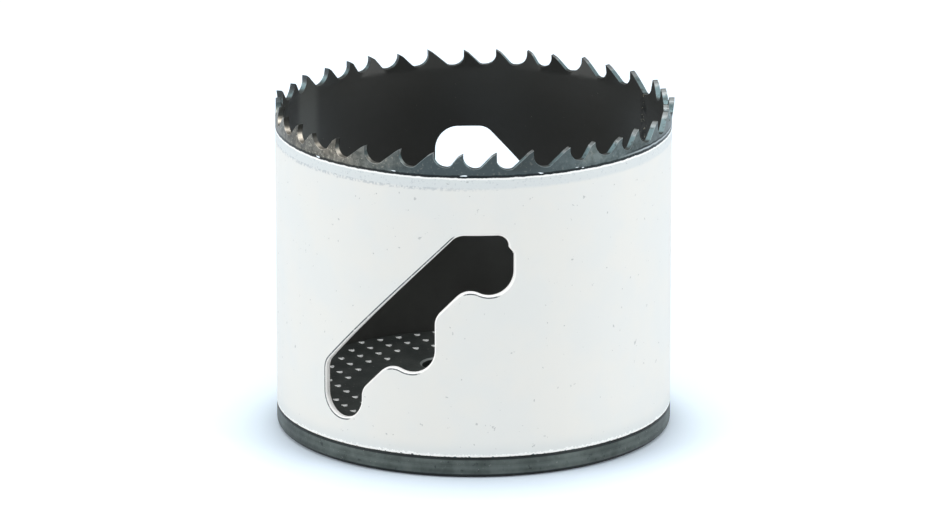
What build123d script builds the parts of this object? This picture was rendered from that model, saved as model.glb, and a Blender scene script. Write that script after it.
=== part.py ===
# Hole saw, 63.5 mm (2-1/2 in): a toothed steel cup welded to a thick end cap that screws on an arbor.
# Millimetres. The saw stands on its cap with the teeth up. The origin is the centre of the cap's
# outer face, +Z runs along the arbor axis towards the teeth, and -Y is the middle of the front.
from build123d import *
from math import ceil, cos, degrees, hypot, radians, sin, sqrt
import os

# cup
cup_radius = 31.75
wall = 0.9
tip_height = 53.2

# end cap
flange_thickness = 3.4
floor_height = 5.56
flange_edge_radius = 0.9
spigot_clearance = 0.05
spigot_chamfer = 0.4

# arbor thread, 5/8-18, cut as its minor diameter, and the two drive pin holes
thread_minor_radius = 7.25
thread_lead_in = 0.6
pin_circle_radius = 12.7
pin_hole_radius = 3.4
pin_hole_chamfer = 0.3
pin_angle = 113.0

# square pits pressed into the cap's inner face, in a ring between the pin holes and the wall
pit_pitch = 3.34
pit_width = 1.15
pit_depth = 0.45
pit_floor_width = 0.12
pit_turn = 25.2
pit_phase_x = 2.14
pit_phase_y = 3.45
pit_inner_radius = 19.6
pit_wall_gap = 1.4

# teeth: gaps between neighbouring tips, in order round the rim, of a variable 4 to 6 per inch
tooth_pitches = (
    5.5, 5.4, 6.6, 5.7, 5.9, 5.3, 4.7, 5.2, 5.4, 5.9, 5.5, 4.9, 4.6, 5.5, 5.7, 5.5, 4.7, 4.3, 5.9,
    5.9, 5.1, 5.7, 4.7, 6.2, 6.0, 5.7, 4.8, 5.3, 6.1, 6.1, 5.1, 5.0, 5.5, 5.7, 6.0, 4.3, 4.3,
)
first_tip_angle = 93.4
gullet_depth = 2.45
gullet_depth_slope = 0.3
face_radius = 1.95
root_radius = 1.0
root_flat = 0.65
land_run = 0.85
land_drop = 0.46
tip_flat = 0.08
tooth_set = 0.5
set_margin = 0.15
tooth_leans = (
    1, 0, 1, 0, -1, 1, -1, 1, 0, -1, 1, -1, 1, 0, -1, 0, -1, 1, 0,
    -1, 0, -1, 1, -1, 0, -1, 0, 1, 0, -1, 0, -1, 1, -1, 0, 0, -1,
)

# lever slots, measured along the outside of the rolled strip from the middle of the front
slot_tops = (39.85, 40.35)        # front slot, rear slot
slot_lobe_radii = (3.97, 3.97, 3.73)
slot_lobe_pitch = 12.7
slot_right = 6.5
slot_lobe_heights = (33.95, 20.9, 11.46)
slot_back_offset = 42.45
slot_step_offsets = (32.45, 31.9)
slot_corner_radius = 2.8
slot_crest_radius = 3.175
slot_top_radii = (1.9, 3.8)
slot_nicks = (True, False)        # the front slot alone has a small nick in its upper right corner
slot_nick_width = 0.85
slot_nick_height = 1.05
slot_nick_radius = 0.5
slot_top_nick_height = 37.85

inner_radius = cup_radius - wall
spigot_radius = inner_radius - spigot_clearance
mean_pitch = sum(tooth_pitches) / len(tooth_pitches)
deepest_gullet = gullet_depth + gullet_depth_slope * (max(tooth_pitches) - mean_pitch)
set_height = tip_height - deepest_gullet - set_margin
overcut = 1.0


def gullet_size(pitch):
    """Depth of a gullet, and the distance from the tip on its left to its lowest point."""
    depth = gullet_depth + gullet_depth_slope * (pitch - mean_pitch)
    run = sqrt(face_radius**2 - (depth - face_radius) ** 2)
    return depth, run


def radial_plane(angle, radius=0.0, height=0.0):
    """Plane whose normal points out from the axis; angles run from the front, -Y, towards +X."""
    outward = Vector(sin(radians(angle)), -cos(radians(angle)), 0)
    along = Vector(cos(radians(angle)), sin(radians(angle)), 0)
    return Plane(origin=outward * radius + Vector(0, 0, height), x_dir=along, z_dir=outward)


def section_plane(angle):
    """Plane through the axis: its x runs out from the axis and its y runs up."""
    outward = Vector(sin(radians(angle)), -cos(radians(angle)), 0)
    along = Vector(cos(radians(angle)), sin(radians(angle)), 0)
    return Plane(origin=(0, 0, 0), x_dir=outward, z_dir=-along)


def rolled(edge, radius):
    """Edge of the flat strip, x along the strip and y up, rolled to a radius about the axis."""
    points = []
    for step in range(9):
        flat = edge.position_at(step / 8)
        turn = flat.X / cup_radius
        points.append((radius * sin(turn), -radius * cos(turn), flat.Y))
    return Edge.make_spline(points)


# lever slots: each is drawn in the flat, then its outline is rolled to two radii, with ruled faces
# between them that cut it out of a plain ring
lobe_right = [slot_right - slot_lobe_pitch * step for step in range(len(slot_lobe_radii))]
lobes = [(x - r, z, r) for x, z, r in zip(lobe_right, slot_lobe_heights, slot_lobe_radii)]
slot_left = lobe_right[-1] - 2 * slot_lobe_radii[-1]
slot_steps = [(x, x + offset) for x, offset in zip(lobe_right[1:], slot_step_offsets)]
slot_cutters = []
for number, (top, top_radius, nicked) in enumerate(zip(slot_tops, slot_top_radii, slot_nicks)):
    top_right = (slot_right - slot_nick_width * nicked, top)
    slot_knee = (slot_right, slot_top_nick_height - slot_nick_height)
    slot_points = [(top - slot_back_offset, top), top_right]
    if nicked:
        slot_points.append((slot_right - slot_nick_width, slot_top_nick_height))
        slot_points.append(slot_knee)
    for step, (x, z, r) in enumerate(lobes):
        slot_points.append((x + r, z))
        slot_points.append((x, z))
        if step < len(slot_steps):
            rise = (z - x - slot_step_offsets[step]) / 2
            slot_points.append((x + rise, z - rise))
            slot_points.append(slot_steps[step])
    slot_points.append((slot_left, slot_lobe_heights[-1]))
    slot_points.append((slot_left, slot_left + slot_back_offset))
    with BuildSketch() as slot_flat:
        with BuildLine():
            Polyline(*slot_points, close=True)
        make_face()
        for x, z, r in lobes:
            with Locations((x, z)):
                Circle(r)
        for x, z in (slot_points[0], *slot_steps, slot_points[-1]):
            fillet(slot_flat.vertices().sort_by_distance((x, z, 0))[0], slot_corner_radius)
        fillet(slot_flat.vertices().sort_by_distance((*top_right, 0))[0], top_radius)
        if nicked:
            fillet(slot_flat.vertices().sort_by_distance((*slot_knee, 0))[0], slot_nick_radius)
        for (x, z, r), offset in zip(lobes, slot_step_offsets):
            gap = (z - x - offset) / sqrt(2)
            reach = sqrt(r**2 - gap**2)
            crest = (x + gap / sqrt(2) - reach / sqrt(2), z - gap / sqrt(2) - reach / sqrt(2), 0)
            fillet(slot_flat.vertices().sort_by_distance(crest)[0], slot_crest_radius)
    ribbon = Shell([
        Face.make_surface_from_curves(
            rolled(edge, cup_radius + 2 * overcut), rolled(edge, inner_radius - 2 * overcut)
        )
        for edge in slot_flat.face().outer_wire().edges()
    ])
    with BuildPart() as slot_blank:
        with BuildSketch():
            Circle(cup_radius + overcut)
            Circle(inner_radius - overcut, mode=Mode.SUBTRACT)
        extrude(amount=tip_height)
    slot_cutter = min(slot_blank.solid().split(ribbon, keep=Keep.ALL), key=lambda piece: piece.volume)
    slot_cutters.append(slot_cutter.rotate(Axis.Z, 360 * number / len(slot_nicks)))

# gullets: one prism for each gap between tips, across the wall only
pitch_angles = [360 * pitch / sum(tooth_pitches) for pitch in tooth_pitches]
tip_angles = [first_tip_angle + sum(pitch_angles[:count]) for count in range(len(pitch_angles))]
floor_angles = []
gullets = []
for angle, pitch in zip(tip_angles, tooth_pitches):
    depth, run = gullet_size(pitch)
    half = pitch / 2
    floor_angles.append(angle + degrees((run + root_flat / 6) / cup_radius))
    middle = radial_plane(angle + degrees(half / cup_radius), inner_radius - tooth_set - overcut, tip_height)
    with BuildSketch(middle) as gullet:
        with BuildLine():
            face = RadiusArc((-half, 0), (run - half, -depth), -face_radius)
            Polyline(
                face @ 1,
                (run + root_flat - half, -depth),
                (half - land_run, -land_drop),
                (half - tip_flat, 0),
                (half - tip_flat, overcut),
                (-half, overcut),
                face @ 0,
            )
        make_face()
        fillet(gullet.vertices().sort_by_distance((0, -2 * depth, 0))[0], root_radius)
    gullets.append(extrude(gullet.sketch, amount=wall + 2 * (tooth_set + overcut), mode=Mode.PRIVATE))

# teeth: a leaning section turned from one gullet's floor to the next, less the gullets either side
teeth = []
for count, floor_angle in enumerate(floor_angles):
    lean = tooth_set * tooth_leans[count]
    turn = (floor_angle - floor_angles[count - 1]) % 360
    with BuildSketch(section_plane(floor_angle)) as tooth:
        Polygon(
            (inner_radius, set_height),
            (cup_radius, set_height),
            (cup_radius + lean, tip_height),
            (inner_radius + lean, tip_height),
            align=None,
        )
    blank = revolve(tooth.sketch, axis=-Axis.Z, revolution_arc=turn, mode=Mode.PRIVATE)
    teeth.append(blank.cut(gullets[count - 1], gullets[count]))

# cup: the rolled strip with its lever slots and its teeth, welded to the cap by its lower edge
with BuildPart() as saw_cup:
    with BuildSketch(Plane.XY.offset(flange_thickness)):
        Circle(cup_radius)
        Circle(inner_radius, mode=Mode.SUBTRACT)
    extrude(amount=set_height - flange_thickness)
    add(slot_cutters, mode=Mode.SUBTRACT)
    add(teeth)
saw_cup.part.label = "saw_cup"
os.makedirs("parts", exist_ok=True)
export_step(saw_cup.part, "parts/saw_cup.step")

# pits: the points of a square lattice that lie between the pin holes' ring and the cup's wall
pit_reach = ceil(cup_radius / pit_pitch) + 1
pit_points = []
for row in range(-pit_reach, pit_reach + 1):
    for column in range(-pit_reach, pit_reach + 1):
        along = pit_pitch * column
        across = pit_pitch * row
        x = along * cos(radians(pit_turn)) - across * sin(radians(pit_turn)) + pit_phase_x
        y = along * sin(radians(pit_turn)) + across * cos(radians(pit_turn)) + pit_phase_y
        if pit_inner_radius < hypot(x, y) < inner_radius - pit_wall_gap:
            pit_points.append((x, y, floor_height))

# cap: flange under the cup's edge and spigot inside its wall, one piece
with BuildPart() as end_cap:
    with BuildSketch():
        Circle(cup_radius)
    extrude(amount=flange_thickness)
    fillet(end_cap.edges().sort_by(Axis.Z)[0], flange_edge_radius)
    with BuildSketch(Plane.XY.offset(flange_thickness)):
        Circle(spigot_radius)
    extrude(amount=floor_height - flange_thickness)
    chamfer(end_cap.edges().sort_by(Axis.Z)[-1], spigot_chamfer)
    with BuildSketch():
        Circle(thread_minor_radius)
    extrude(amount=floor_height, mode=Mode.SUBTRACT)
    thread_edges = [
        edge for edge in end_cap.edges().filter_by(GeomType.CIRCLE) if edge.radius < pin_circle_radius
    ]
    chamfer(thread_edges, thread_lead_in)
    with BuildSketch():
        with PolarLocations(pin_circle_radius, 2, start_angle=pin_angle):
            Circle(pin_hole_radius)
    extrude(amount=floor_height, mode=Mode.SUBTRACT)
    pin_edges = [
        edge for edge in end_cap.edges().filter_by(GeomType.CIRCLE) if edge.radius < thread_minor_radius
    ]
    chamfer(pin_edges, pin_hole_chamfer)
    with Locations(*[Location(point, (0, 0, pit_turn)) for point in pit_points]):
        Wedge(
            pit_width,
            pit_depth,
            pit_width,
            (pit_width - pit_floor_width) / 2,
            (pit_width - pit_floor_width) / 2,
            (pit_width + pit_floor_width) / 2,
            (pit_width + pit_floor_width) / 2,
            rotation=(-90, 0, 0),
            align=(Align.CENTER, Align.MIN, Align.CENTER),
            mode=Mode.SUBTRACT,
        )
end_cap.part.label = "end_cap"
export_step(end_cap.part, "parts/end_cap.step")
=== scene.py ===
import math
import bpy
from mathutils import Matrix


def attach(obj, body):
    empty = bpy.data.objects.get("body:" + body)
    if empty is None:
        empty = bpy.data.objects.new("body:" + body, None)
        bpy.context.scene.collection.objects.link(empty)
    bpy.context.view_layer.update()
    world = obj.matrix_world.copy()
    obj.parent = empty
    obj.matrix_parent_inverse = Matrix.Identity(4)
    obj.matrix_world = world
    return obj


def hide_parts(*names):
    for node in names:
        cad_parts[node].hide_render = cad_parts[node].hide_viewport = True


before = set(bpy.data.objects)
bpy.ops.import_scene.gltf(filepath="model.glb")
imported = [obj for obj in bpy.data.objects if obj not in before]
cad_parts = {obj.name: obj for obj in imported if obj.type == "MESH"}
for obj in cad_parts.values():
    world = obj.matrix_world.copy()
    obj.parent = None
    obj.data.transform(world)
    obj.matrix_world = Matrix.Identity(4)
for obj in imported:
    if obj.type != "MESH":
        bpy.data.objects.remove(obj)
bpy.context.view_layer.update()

from types import SimpleNamespace

import bpy
import numpy as np
from mathutils import Vector

# Hole saw, dressed on its CAD solids. Lengths in the dictionaries are millimetres. The flat strip that the
# cup is rolled from has s along its outside face, from the middle of the front towards +X, and z up from
# the cap's outer face. In the materials a pair is where a smooth step starts and where it ends.

mm = 0.001  # metres in a millimetre
noneNear = 9.0  # stands for no edge near in the rim and tooth attributes
root2 = math.sqrt(2)

cup = {
    "radius": 31.75,
    "wall": 0.9,
    "foot": 3.4,  # where the strip stands on the cap's flange
    "footRound": 0.16,
    "footRow": 0.5,  # from the foot up to the slots' patches
    "tip": 53.2,
    "bend": 50.19,  # the set teeth lean from here up
    "set": 0.5,
    "bandFoot": 49.0,  # the tooth band's rows start here
    "bandRows": 9,
    "seam": 0.4,  # from the slots' patches up to the band
    "weldGrid": 5000,  # points in one cell, of this many to a millimetre, become one
    "skin": 0.01,  # deeper than this from either face counts as cut metal
}
halfTurn = math.pi * cup["radius"]  # along the strip

teeth = {
    "pitches": (
        5.5, 5.4, 6.6, 5.7, 5.9, 5.3, 4.7, 5.2, 5.4, 5.9, 5.5, 4.9, 4.6, 5.5, 5.7, 5.5, 4.7, 4.3, 5.9,
        5.9, 5.1, 5.7, 4.7, 6.2, 6.0, 5.7, 4.8, 5.3, 6.1, 6.1, 5.1, 5.0, 5.5, 5.7, 6.0, 4.3, 4.3,
    ),
    "leans": (
        1, 0, 1, 0, -1, 1, -1, 1, 0, -1, 1, -1, 1, 0, -1, 0, -1, 1, 0,
        -1, 0, -1, 1, -1, 0, -1, 0, 1, 0, -1, 0, -1, 1, -1, 0, 0, -1,
    ),
    "firstTip": 93.4,  # degrees from the front, towards +X
    "depth": 2.45,
    "depthSlope": 0.3,
    "face": 1.95,
    "facePoints": 14,
    "root": 1.0,
    "rootFlat": 0.65,
    "rootPoints": 7,
    "flankPoints": 8,
    "landRun": 0.85,
    "landDrop": 0.46,
    "landPoints": 5,
    "tipFlat": 0.08,
    "edge": 0.035,
    "leanBefore": 0.3,  # the lean changes over from here before the gullet's floor
    "leanOver": 0.9,
}

lever = {
    "tops": (39.85, 40.35),  # front slot, rear slot
    "topCorners": (1.9, 3.8),
    "lobes": (3.97, 3.97, 3.73),  # from the top one down
    "lobeHeights": (33.95, 20.9, 11.46),
    "lobePitch": 12.7,
    "right": 6.5,
    "back": 42.45,
    "steps": (32.45, 31.9),
    "corner": 2.8,
    "crest": 3.175,
    "nickWidth": 0.85,  # the front slot's alone
    "nickHeight": 1.05,
    "nickRound": 0.5,
    "nickTop": 37.85,
    "edgeLength": 0.7,
    "outerRound": 0.3,
    "innerRound": 0.07,
    "roundPoints": 6,
    "patchLeft": -34.0,
    "patchRight": 15.0,
    "patchPoints": 15,
    "patchEase": 1.5,  # above 1 the rows crowd towards the rectangle
    "plainPoints": 60,
    "plainGap": 0.6,
    "wearTilt": 0.5,
    "wearGain": 4,
}

# the way of the ruled lines round a slot, in degrees, clockwise from its top left corner
ways = {
    "backTop": 115,
    "topLeft": 100,
    "topRight": 75,
    "sideTop": 25,
    "nickTop": 24,
    "kneeTop": 12,
    "kneeFoot": 8,
    "sideFoot": -20,
    "steps": -65,
    "lastLobe": -78,
    "leftFoot": -165,
    "leftTop": -205,
    "back": -245,
}


def named(values):
    # a dictionary's values by name
    return SimpleNamespace(**values)


def smooth(x):
    # 3x^2 - 2x^3 between 0 and 1
    x = np.clip(x, 0, 1)
    return x * x * (3 - 2 * x)


def gridQuads(index):
    # (i, j), (i+1, j), (i+1, j+1), (i, j+1): i to the right and j up faces outwards
    return np.stack([index[:-1, :-1], index[1:, :-1], index[1:, 1:], index[:-1, 1:]], -1).reshape(-1, 4)


def addMesh(name, points, faces, attributes=None, uv=None, sharp=35):
    # points (n, 3) in millimetres, faces a list of index arrays, one row for each face
    mesh = bpy.data.meshes.new(name)
    loops = np.concatenate([f.reshape(-1) for f in faces]).astype(np.int32)
    totals = np.concatenate([np.full(len(f), f.shape[1]) for f in faces]).astype(np.int32)
    starts = np.concatenate([[0], np.cumsum(totals)[:-1]]).astype(np.int32)
    mesh.vertices.add(len(points))
    mesh.vertices.foreach_set("co", (points * mm).astype(np.float32).reshape(-1))
    mesh.loops.add(len(loops))
    mesh.loops.foreach_set("vertex_index", loops)
    mesh.polygons.add(len(totals))
    mesh.polygons.foreach_set("loop_start", starts)
    mesh.polygons.foreach_set("loop_total", totals)
    mesh.update(calc_edges=True)
    mesh.validate()
    for key, values in (attributes or {}).items():
        layer = mesh.attributes.new(key, "FLOAT", "POINT")
        layer.data.foreach_set("value", values.astype(np.float32))
    if uv is not None:
        layer = mesh.uv_layers.new(name="strip")
        layer.data.foreach_set("uv", uv[loops].astype(np.float32).reshape(-1))
    mesh.shade_smooth()
    mesh.set_sharp_from_angle(angle=math.radians(sharp))
    piece = bpy.data.objects.new(name, mesh)
    bpy.context.scene.collection.objects.link(piece)
    return piece


class Sheet:
    # collects grids of (s, z, depth, lean, rim, tooth, wear) and welds the points that they share; wear
    # places a painted shade line
    def __init__(self):
        self.rows = []
        self.faces = []
        self.count = 0

    def points(self, s, z, depth, lean=0.0, rim=noneNear, tooth=noneNear, wear=0.0):
        # returns the index grid of the points just added
        grids = np.broadcast_arrays(s, z, depth, lean, rim, tooth, wear)
        self.rows.append(np.stack([a.astype(float).reshape(-1) for a in grids], 1))
        index = self.count + np.arange(grids[0].size).reshape(grids[0].shape)
        self.count += index.size
        return index

    def quads(self, index):
        self.faces.append(gridQuads(index))

    def zip(self, low, high, lowAt, highAt):
        # triangles between two rows that share no spacing, in the order of their edges' middles
        lowMid = (lowAt[:-1] + lowAt[1:]) / 2
        highMid = (highAt[:-1] + highAt[1:]) / 2
        j = np.searchsorted(highMid, lowMid, side="left")
        i = np.searchsorted(lowMid, highMid, side="right")
        self.faces.append(np.stack([low[:-1], low[1:], high[j]], -1))
        self.faces.append(np.stack([high[1:], high[:-1], low[i]], -1))

    def build(self, name):
        # x = r sin(s / radius), y = -r cos(s / radius), r = radius - depth + lean; equal points become
        # one, and a face that two of its neighbouring corners share is dropped
        s, z, depth, lean, rim, tooth, wear = np.concatenate(self.rows).T
        angle = s / cup["radius"]
        r = cup["radius"] - depth + lean
        points = np.stack([r * np.sin(angle), -r * np.cos(angle), z], 1)
        key = np.round(points * cup["weldGrid"]).astype(np.int64)
        _, first, back = np.unique(key, axis=0, return_index=True, return_inverse=True)
        faces = []
        for group in self.faces:
            group = back.reshape(-1)[group]
            folded = (group == np.roll(group, 1, axis=1)).any(axis=1)
            faces.append(group[~folded])
        cut = ((depth > cup["skin"]) & (depth < cup["wall"] - cup["skin"])).astype(float)
        keep = {"depth": depth[first] / cup["wall"], "rim": rim[first], "tooth": tooth[first],
                "cut": cut[first], "wear": wear[first]}
        uv = np.stack([s[first], z[first]], 1) * mm
        return addMesh(name, points[first], faces, keep, uv)


def offsetCurve(s, z, distance, closed):
    # each point moved along the mean of its two edges' left normals, over the cosine of half their turn
    leastCosine = 0.45
    curve = np.stack([s, z], 1)
    step = np.diff(np.concatenate([curve, curve[:1]]) if closed else curve, axis=0)
    before = np.concatenate([step[-1:], step])[:len(s)]
    after = np.concatenate([step, step[:1]])[:len(s)]
    before /= np.linalg.norm(before, axis=1, keepdims=True)
    after /= np.linalg.norm(after, axis=1, keepdims=True)
    mean = before + after
    mean /= np.maximum(np.linalg.norm(mean, axis=1, keepdims=True), 1e-6)
    half = np.maximum((mean * before).sum(1), leastCosine)
    return s - mean[:, 1] * distance / half, z + mean[:, 0] * distance / half


def toothOutline():
    # for each gap between tips: face arc down, root arc, straight flank up and ground land to the next tip
    t = named(teeth)
    pitch = np.array(t.pitches)
    span = pitch * (2 * halfTurn / pitch.sum())
    start = math.radians(t.firstTip) * cup["radius"] + np.concatenate([[0], np.cumsum(span)[:-1]])
    depth = t.depth + t.depthSlope * (pitch - pitch.mean())
    run = np.sqrt(t.face ** 2 - (depth - t.face) ** 2)
    top = (np.pi - np.arctan2(depth - t.face, run))[:, None]
    faceAngle = top + (1.5 * np.pi - top) * np.linspace(0, 1, t.facePoints)
    faceS = run[:, None] + t.face * np.cos(faceAngle)
    faceZ = (t.face - depth)[:, None] + t.face * np.sin(faceAngle)
    cornerS = run + t.rootFlat
    landS = span - t.landRun
    slope = np.arctan2(depth - t.landDrop, landS - cornerS)
    reach = t.root * np.tan(slope / 2)
    rootAngle = -np.pi / 2 + slope[:, None] * np.linspace(0, 1, t.rootPoints)
    rootS = (cornerS - reach)[:, None] + t.root * np.cos(rootAngle)
    rootZ = (t.root - depth)[:, None] + t.root * np.sin(rootAngle)
    u = np.linspace(0, 1, t.flankPoints)[1:]
    flankS = rootS[:, -1:] + (landS[:, None] - rootS[:, -1:]) * u
    flankZ = rootZ[:, -1:] + (-t.landDrop - rootZ[:, -1:]) * u
    u = np.linspace(0, 1, t.landPoints)[1:]
    tipS = span - t.tipFlat
    groundS = landS[:, None] + (tipS - landS)[:, None] * u
    groundZ = np.broadcast_to(-t.landDrop * (1 - u), groundS.shape)
    outS = np.concatenate([faceS, rootS, flankS, groundS], 1)
    outZ = np.concatenate([faceZ, rootZ, flankZ, groundZ], 1)
    # lean of the tooth on the left up to the floor, then of the tooth on the right
    mine = np.array(t.leans)[:, None]
    following = np.roll(mine, -1)
    blend = smooth((outS - run[:, None] + t.leanBefore) / t.leanOver)
    lean = mine * (1 - blend) + following * blend
    # the band's foot has the outline's points spread by their length along it
    step = np.hypot(np.diff(outS, axis=1), np.diff(outZ, axis=1))
    along = np.concatenate([np.zeros((len(pitch), 1)), np.cumsum(step, axis=1)], 1)
    footS = start[:, None] + span[:, None] * along / (along[:, -1:] + t.tipFlat)
    # the first point comes again at the end, a full turn on
    lists = (outS + start[:, None], outZ + cup["tip"], lean, footS)
    return [np.append(a, a.flat[0] + turn) for a, turn in zip(lists, (2 * halfTurn, 0, 0, 2 * halfTurn))]


class Outline:
    # a line in the flat, each of its points with the way that its patch's ruled line runs, in degrees
    def __init__(self):
        self.parts = []

    def put(self, s, z, w0, w1):
        self.parts.append(np.stack([s, z, np.linspace(w0, w1, len(s))])[:, :-1])

    def arc(self, s, z, r, a0, a1, w0, w1, n):
        # from one angle in degrees to another, in n edges
        a = np.radians(np.linspace(a0, a1, n + 1))
        self.put(s + r * np.cos(a), z + r * np.sin(a), w0, w1)

    def line(self, s0, z0, s1, z1, w0, w1):
        n = max(1, int(math.hypot(s1 - s0, z1 - z0) / lever["edgeLength"]))
        u = np.linspace(0, 1, n + 1)
        self.put(s0 + (s1 - s0) * u, z0 + (z1 - z0) * u, w0, w1)


def slotNick(o, v, w, fromZ):
    # down to the nick, its slanted shoulder, the round where that meets the right side, and the side
    inner = v.right - v.nickWidth
    shoulder = math.atan2(v.nickHeight, v.nickWidth)
    turn = math.pi / 2 - shoulder
    reach = v.nickRound * math.tan(turn / 2)
    kneeZ = v.nickTop - v.nickHeight
    o.line(inner, fromZ, inner, v.nickTop, w.sideTop, w.nickTop)
    o.line(inner, v.nickTop, v.right - reach * math.cos(shoulder), kneeZ + reach * math.sin(shoulder),
           w.nickTop, w.kneeTop)
    o.arc(v.right - v.nickRound, kneeZ - reach, v.nickRound, math.degrees(turn), 0, w.kneeTop, w.kneeFoot, 4)
    o.line(v.right, kneeZ - reach, v.right, v.lobeHeights[0], w.kneeFoot, w.sideFoot)


def slotTop(o, v, w, number):
    # from the long side's upper corner to the first lobe; returns that corner's centre
    top, corner = v.tops[number], v.topCorners[number]
    headZ = top - v.corner
    headS = headZ + root2 * (v.corner - v.back / root2)
    cornerS = v.right - v.nickWidth * (number == 0) - corner
    o.arc(headS, headZ, v.corner, 135, 90, w.backTop, w.topLeft, 10)
    o.line(headS, top, cornerS, top, w.topLeft, w.topRight)
    o.arc(cornerS, top - corner, corner, 90, 0, w.topRight, w.sideTop, 16)
    if number == 0:
        slotNick(o, v, w, top - corner)
    else:
        o.line(v.right, top - corner, v.right, v.lobeHeights[0], w.sideTop, w.sideFoot)
    return headS, headZ


def slotStep(o, v, w, k):
    # a lobe, the crest that it meets, a long side and the next right side
    same = (w.steps, w.steps)
    lobe, crest, c = v.lobes[k], v.crest, v.corner
    lobeS, lobeZ = v.right - v.lobePitch * k - lobe, v.lobeHeights[k]
    lobeP, lobeQ = (lobeS + lobeZ) / root2, (lobeS - lobeZ) / root2
    sideQ = -v.steps[k] / root2
    crestQ = sideQ + crest
    crestP = lobeP - math.sqrt((lobe + crest) ** 2 - (crestQ - lobeQ) ** 2)
    crestS, crestZ = (crestP + crestQ) / root2, (crestP - crestQ) / root2
    meet = math.degrees(math.atan2(crestZ - lobeZ, crestS - lobeS))
    meet = meet - 360 if meet > 0 else meet
    o.arc(lobeS, lobeZ, lobe, 0, -60, w.sideFoot if k == 0 else w.steps, w.steps, 14)
    o.arc(lobeS, lobeZ, lobe, -60, meet, *same, 16)
    o.arc(crestS, crestZ, crest, meet + 180, 135, *same, 14)
    right = v.right - v.lobePitch * (k + 1)
    cornerS = right + c
    cornerZ = cornerS - root2 * (sideQ + c)
    o.line(crestS - crest / root2, crestZ + crest / root2, cornerS - c / root2, cornerZ + c / root2, *same)
    o.arc(cornerS, cornerZ, c, 135, 180, *same, 8)
    o.line(right, cornerZ, right, v.lobeHeights[k + 1], *same)


def slotFoot(o, v, w, headS, headZ):
    # the last lobe, the left side and the long side back up
    lobe, lobeZ, c = v.lobes[2], v.lobeHeights[2], v.corner
    lobeS = v.right - v.lobePitch * 2 - lobe
    left = v.right - v.lobePitch * 2 - 2 * lobe
    o.arc(lobeS, lobeZ, lobe, 0, -70, w.steps, w.lastLobe, 14)
    o.arc(lobeS, lobeZ, lobe, -70, -180, w.lastLobe, w.leftFoot, 22)
    footS = left + c
    footZ = footS - root2 * (c - v.back / root2)
    o.line(left, lobeZ, left, footZ, w.leftFoot, w.leftTop)
    o.arc(footS, footZ, c, 180, 135, w.leftTop, w.back, 9)
    slant = c / root2
    o.line(footS - slant, footZ + slant, headS - slant, headZ + slant, w.back, w.back)


def slotOutline(number):
    # arcs and lines of one lever slot. The long sides lie at 45 degrees: q = (s - z) / root 2 stays the
    # same along them, and p = (s + z) / root 2 runs along them. Drawn clockwise, then turned round.
    o, v, w = Outline(), named(lever), named(ways)
    head = slotTop(o, v, w, number)
    slotStep(o, v, w, 0)
    slotStep(o, v, w, 1)
    slotFoot(o, v, w, *head)
    s, z, way = np.concatenate(o.parts, 1)[:, ::-1]
    return s, z, np.radians(way)


def reachTo(place, way, low, high):
    # how far a ray goes before its place along one axis is low or high, whichever lies ahead
    tiny = 1e-9
    ahead = np.where(way > 0, high - place, low - place)
    return np.abs(ahead / np.where(np.abs(way) < tiny, tiny, way))


def addPatch(sheet, number, lowZ, highZ):
    # round a slot: outside face, rounded edge, cut face and inside face, on ruled lines between the
    # slot's outline and a rectangle. Returns the rectangle's bottom, right, top and left points.
    v = named(lever)
    wall, outer, inner = cup["wall"], v.outerRound, v.innerRound
    around = number * halfTurn
    s, z, way = slotOutline(number)
    wayS, wayZ = np.cos(way), np.sin(way)
    reach = np.minimum(reachTo(s, wayS, v.patchLeft, v.patchRight), reachTo(z, wayZ, lowZ, highZ))
    outS, outZ = s + wayS * reach, z + wayZ * reach
    # the lines that end nearest the rectangle's corners are moved to them
    corners = np.array([
        (v.patchLeft, lowZ), (v.patchRight, lowZ), (v.patchRight, highZ), (v.patchLeft, highZ)])
    at = np.argmin(np.hypot(outS[None] - corners[:, :1], outZ[None] - corners[:, 1:]), axis=1)
    outS[at], outZ[at] = corners[:, 0], corners[:, 1]
    # the loop starts at the lower left corner, so that the sides run bottom, right, top, left
    s, z, outS, outZ = (np.roll(a, -at[0]) for a in (s, z, outS, outZ))
    at = (at - at[0]) % len(s)
    turns = np.linspace(0, np.pi / 2, v.roundPoints)
    edgeIn = np.r_[outer * (1 - np.sin(turns)), inner * (1 - np.cos(turns[::2]))]
    edgeDepth = np.r_[outer * (1 - np.cos(turns)), wall - inner * (1 - np.sin(turns[::2]))]
    edges = [offsetCurve(s, z, -d, True) for d in edgeIn]
    ease = 1 - (1 - np.linspace(0, 1, v.patchPoints)[:-1]) ** v.patchEase
    ring = []
    for k, outline in enumerate((outS, outZ)):
        face, back = (outline[:, None] + (edge[k] - outline)[:, None] * ease
                      for edge in (edges[0], edges[-1]))
        ring.append(np.concatenate([face, np.stack([edge[k] for edge in edges], 1), back[:, ::-1]], 1))
    ringS, ringZ = ring
    flat = np.zeros(len(ease))
    ringDepth = np.broadcast_to(np.r_[flat, edgeDepth, flat + wall], ringS.shape)
    rim = np.hypot(ringS - s[:, None], ringZ - z[:, None])
    # wear is 1 where the metal lies to the left of the slot or below it, from the outward normal; it places a
    # painted shade line
    away = -(edges[0][0] - s + v.wearTilt * (edges[0][1] - z)) / outer
    wear = np.broadcast_to(smooth(away * v.wearGain)[:, None], ringS.shape)
    ringS, ringZ, ringDepth, rim, wear = (
        np.concatenate([a, a[:1]]) for a in (ringS, ringZ, ringDepth, rim, wear))
    sheet.quads(sheet.points(ringS + around, ringZ, ringDepth, 0, rim, noneNear, wear))
    return (outS[:at[1] + 1] + around, outZ[at[1]:at[2] + 1],
            outS[at[2]:at[3] + 1][::-1] + around, np.r_[outZ[at[3]:], outZ[0]][::-1])


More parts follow.
